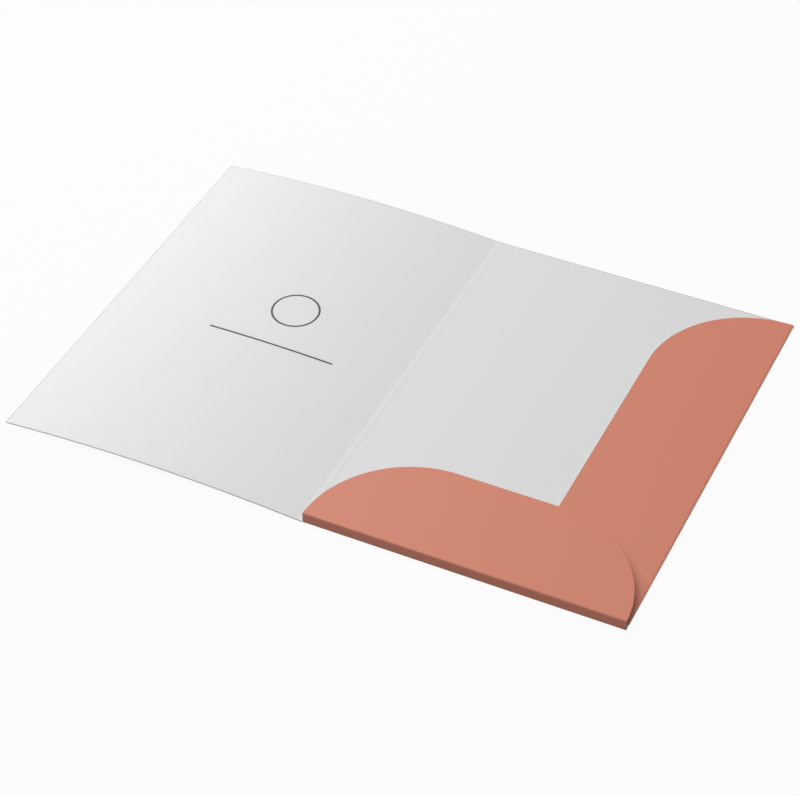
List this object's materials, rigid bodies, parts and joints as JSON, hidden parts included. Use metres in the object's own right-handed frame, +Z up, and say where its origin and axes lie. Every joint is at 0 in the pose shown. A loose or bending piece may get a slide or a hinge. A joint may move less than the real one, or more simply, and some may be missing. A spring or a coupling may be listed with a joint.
{
  "type": "presentation folder",
  "caption": "Open card presentation folder: arched cover, narrow creased spine, back panel with a side flap and a gusseted bottom flap that hold papers.",
  "frame": {"origin": "middle of the open folder's footprint, on the table; x = 0 is the crease between the spine and the back panel", "axes": "+X from the cover towards the back panel, +Y from the bottom flap's edge towards the top edge, +Z up from the table"},
  "size_m": [0.44, 0.31, 0.008],
  "materials": {
    "inner_card": "satin",
    "outer_card": "satin"
  },
  "bodies": {
    "folder_back": {"back_panel": "inner_card", "crease_spine_back": "inner_card", "crease_side_flap": "outer_card", "side_flap": "outer_card"},
    "spine": {"spine_strip": "inner_card", "crease_cover_spine": "inner_card"},
    "cover": {"front_cover": "inner_card"},
    "gusset": {"crease_back_gusset": "outer_card", "bottom_gusset": "outer_card"},
    "bottom_flap": {"crease_gusset_flap": "outer_card", "bottom_flap": "outer_card"}
  },
  "joints": [
    {"name": "spine_fold", "type": "hinge", "parent": "folder_back", "child": "spine", "pos_m": [0, 0, 0.00025], "axis": [0, 1, 0], "range_deg": [0, 90]},
    {"name": "cover_fold", "type": "hinge", "parent": "spine", "child": "cover", "pos_m": [-0.0044, 0, 0.00025], "axis": [0, 1, 0], "range_deg": [0, 85]},
    {"name": "gusset_lean", "type": "hinge", "parent": "folder_back", "child": "gusset", "pos_m": [0.11, -0.1545, 0.0005], "axis": [1, 0, 0], "range_deg": [-68, 0]},
    {"name": "bottom_flap_level", "type": "hinge", "parent": "gusset", "child": "bottom_flap", "pos_m": [0.11, -0.1545, 0.0075], "axis": [1, 0, 0], "range_deg": [0, 68]}
  ],
  "couplings": [
    {"joint": "cover_fold", "follows": "spine_fold", "ratio": 0.9444},
    {"joint": "gusset_lean", "follows": "spine_fold", "ratio": -0.7555},
    {"joint": "bottom_flap_level", "follows": "spine_fold", "ratio": 0.7555}
  ]
}
